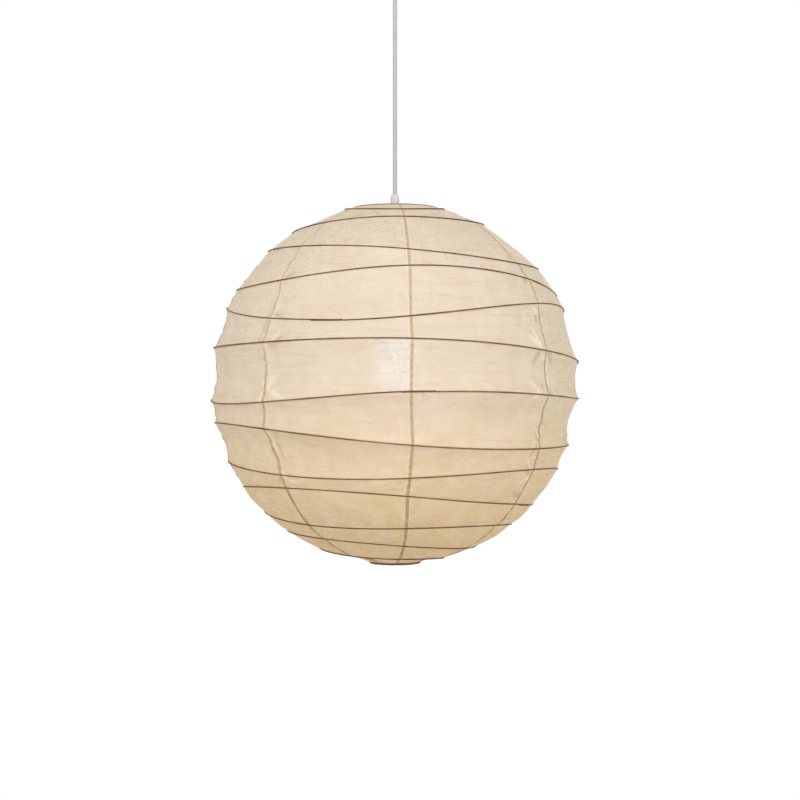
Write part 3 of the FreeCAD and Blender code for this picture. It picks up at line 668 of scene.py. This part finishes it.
    # painted shade by height: 1 from just above the middle, falling to 0 at the bottom, where the paper is
    # painted darker
    rise = smooth_step((level / GLOBE_TALL + 1) / 1.25)
    gore = make_mesh(f"paper_gore_sheet_{index}", points, grid_faces(len(rows), columns), "washi_paper",
                     materials["washi_paper"], sheet=sheet.reshape(-1, 3), lap=lap.ravel(),
                     fray=fray.ravel(), hoop=np.clip(hoop, 0, 1).ravel(), rise=rise.ravel(),
                     ridge=ridge.ravel(), valley=valley.ravel())
    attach(gore, "pendant")
    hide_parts(f"paper_gore_{index}")
    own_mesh(gore)


def make_rib(number):
    """A hoop of split cane, with knuckles, whose last stretch lies beside its first."""
    random = np.random.default_rng(500 + number)
    rib = RIBS[number - 1]
    mean_radius = globe_radius(rib[0] / 1000)
    lap = math.degrees(SPLICE_LENGTH / mean_radius)
    turn = 360 + lap
    steps = max(120, int(mean_radius * 2 * math.pi / 0.0045))
    sides = 10
    along = np.linspace(0, turn, steps + 1)
    azimuth = rib[5] + along
    lead = 3 * lap
    level = hoop_level(rib, azimuth) + SPLICE_STEP * smooth_step((along - (360 - lead)) / lead)
    path = around(azimuth, globe_radius(level), level)
    length = np.radians(along) * mean_radius

    knuckle = np.zeros(steps + 1)
    place = random.uniform(0.05, 0.2)
    while place < length[-1]:
        knuckle = knuckle + np.exp(-((length - place) / 0.0022) ** 2)
        place += random.uniform(0.16, 0.30)
    # both ends are shaved thin where they lie beside each other
    ends = smooth_step(length / SPLICE_LENGTH) * smooth_step((length[-1] - length) / SPLICE_LENGTH)
    thick = RIB_RADIUS * (1 + 0.05 * ripples(random, length, 0.0, 0.03, 0.3, 10) + 0.20 * knuckle)
    thick = thick * (0.40 + 0.60 * ends)

    forward = np.gradient(path, axis=0)
    forward /= np.linalg.norm(forward, axis=1)[:, None]
    outward = path - np.array([0, 0, SHADE_CENTRE])
    outward -= np.sum(outward * forward, axis=1)[:, None] * forward
    outward /= np.linalg.norm(outward, axis=1)[:, None]
    upward = np.cross(forward, outward)
    angles = np.arange(sides) * 2 * math.pi / sides
    # split cane is rounded outside and flatter where it lies on the paper
    flat = np.where(np.cos(angles) < 0, 0.82, 1.0)
    ring = (thick[:, None, None] * (flat * np.cos(angles))[None, :, None] * outward[:, None, :]
            + thick[:, None, None] * np.sin(angles)[None, :, None] * upward[:, None, :])
    points = (path[:, None, :] + ring).reshape(-1, 3)
    faces = grid_faces(steps + 1, sides, wrap_columns=True)
    faces.append(tuple(range(sides))[::-1])
    faces.append(tuple(steps * sides + side for side in range(sides)))
    strand = np.stack([np.repeat(length, sides) + number * 3.1,
                       np.tile(np.abs(angles - math.pi) * RIB_RADIUS, steps + 1),
                       np.full((steps + 1) * sides, number * 0.7)], axis=-1)
    made = make_mesh(f"cane_rib_{number:02d}", points, faces, "rib_cane", materials["rib_cane"],
                     strand=strand, knuckle=np.repeat(np.clip(knuckle, 0, 1), sides))
    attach(made, f"rib_hoop_{number:02d}")
    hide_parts(f"rib_{number:02d}")
    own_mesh(made)


def make_collar(name, node, body, radius, level, paper_side, tall, material):
    """Paper folded over an end ring's wire and glued down, creased all the way round."""
    random = np.random.default_rng(900 + int(radius * 1e4))
    steps = int(radius * 2 * math.pi / 0.0016)
    sides = 18
    azimuth = np.linspace(0, 360, steps, endpoint=False)
    angles = np.arange(sides) * 2 * math.pi / sides
    length = np.radians(azimuth) * radius
    # the waves close on themselves after a full turn
    wrinkle = np.zeros((steps, sides))
    for _ in range(26):
        turns = random.integers(6, 70)
        wrinkle += np.sin(np.radians(azimuth[:, None]) * turns + angles[None, :] * random.integers(-2, 3)
                          + random.uniform(0, 2 * math.pi)) / math.sqrt(13)
    lean = math.atan2(paper_side[1], paper_side[0])
    towards = np.clip(np.cos(angles - lean), 0, 1) ** 6
    section = 0.0014 + 0.0011 * towards[None, :] + 0.00007 * wrinkle
    ring_radius = radius + section * np.cos(angles)[None, :]
    ring_level = level + section * tall * np.sin(angles)[None, :]
    points = around(azimuth[:, None] * np.ones(sides), ring_radius, ring_level).reshape(-1, 3)
    along = np.repeat(length, sides)
    sheet = np.stack([along, np.tile(angles * 0.0016, steps), np.zeros(steps * sides)], axis=-1)
    # the hoop mark gives the wrinkles' crests a painted highlight
    made = make_mesh(name, points, grid_faces(steps, sides, True, True), "paper_fold", material,
                     sheet=sheet, lap=np.zeros(steps * sides), hoop=np.clip(wrinkle, 0, 1).ravel())
    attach(made, body)
    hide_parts(node)


def make_shade():
    """The ribs, the paper gores and the two collars."""
    for number in range(1, len(RIBS) + 1):
        make_rib(number)
    for index in range(1, GORE_COUNT + 1):
        make_gore(index)
    make_collar("top_fold", "top_collar", "pendant", TOP_RADIUS, TOP_LEVEL, (1, -0.25), 1.0,
                materials["paper_fold"])
    make_collar("bottom_fold", "bottom_collar", "lower_ring", BOTTOM_RADIUS, BOTTOM_LEVEL, (1, 0.2), 1.7,
                materials["paper_fold_dark"])


# ---------------------------------------------------------------- studio

def make_floor():
    """Pale floor well below the lantern."""
    steps = 96
    radius = 4.5
    level = -2.3
    angles = np.arange(steps) * 2 * math.pi / steps
    points = np.stack([radius * np.cos(angles), radius * np.sin(angles), np.full(steps, level)], axis=-1)
    mesh = bpy.data.meshes.new("floor")
    mesh.from_pydata(points.tolist(), [], [tuple(range(steps))])
    shader = Shader("floor_pale")
    place = shader.place()
    patches = shader.spread(shader.noise(place, 3, 4), 0.3, 0.7)
    tone = shader.mix(patches, colour(216, 215, 213), colour(222, 221, 219))
    surface = shader.node("BsdfPrincipled", {"Base Color": tone, "Roughness": 0.7}).outputs["BSDF"]
    # its rim fades into the white surround
    out = shader.node("VectorMath", {0: place}, operation="LENGTH").outputs["Value"]
    white = shader.node("Emission", {"Strength": 1.0}).outputs[0]
    rim = shader.spread(out, 2.6, radius)
    both = shader.node("MixShader", {0: rim, 1: surface, 2: white}).outputs[0]
    mesh.materials.append(shader.finish(both))
    floor = bpy.data.objects.new("floor", mesh)
    bpy.context.scene.collection.objects.link(floor)


def area_light(name, place, target, size, power, tone):
    """A round soft light that faces its target."""
    light = bpy.data.lights.new(name, "AREA")
    light.shape = "DISK"
    light.size = size
    light.energy = power
    light.color = tone
    holder = bpy.data.objects.new(name, light)
    holder.location = place
    holder.rotation_euler = (Vector(target) - Vector(place)).to_track_quat("-Z", "Y").to_euler()
    bpy.context.scene.collection.objects.link(holder)


def make_world():
    """Plain white surround, which lights the lantern less than it shows."""
    world = bpy.data.worlds.new("studio")
    bpy.context.scene.world = world
    world.use_nodes = True
    tree = world.node_tree
    tree.nodes.clear()
    shown = tree.nodes.new("ShaderNodeBackground")
    shown.inputs["Color"].default_value = (1, 1, 1, 1)
    lighting = tree.nodes.new("ShaderNodeBackground")
    lighting.inputs["Color"].default_value = (1.0, 0.99, 0.97, 1)
    lighting.inputs["Strength"].default_value = 0.765
    path = tree.nodes.new("ShaderNodeLightPath")
    mix = tree.nodes.new("ShaderNodeMixShader")
    output = tree.nodes.new("ShaderNodeOutputWorld")
    tree.links.new(path.outputs["Is Camera Ray"], mix.inputs[0])
    tree.links.new(lighting.outputs[0], mix.inputs[1])
    tree.links.new(shown.outputs[0], mix.inputs[2])
    tree.links.new(mix.outputs[0], output.inputs["Surface"])


def make_studio():
    """White surround, pale floor and three soft lights."""
    make_world()
    make_floor()
    centre = (0, 0, SHADE_CENTRE)
    area_light("key", (-1.5, -2.5, 0.7), centre, 2.2, 52, (1.0, 0.985, 0.975))
    area_light("fill", (2.2, -2.0, 0.0), centre, 2.0, 33, (1.0, 0.985, 0.97))
    area_light("back", (0.4, 2.4, 0.2), centre, 2.0, 24, (1.0, 0.98, 0.96))
    bpy.context.scene.view_settings.view_transform = "Standard"


make_camera()
materials = make_materials()
make_cord()
finish_cad_nodes()
make_shade()
make_studio()
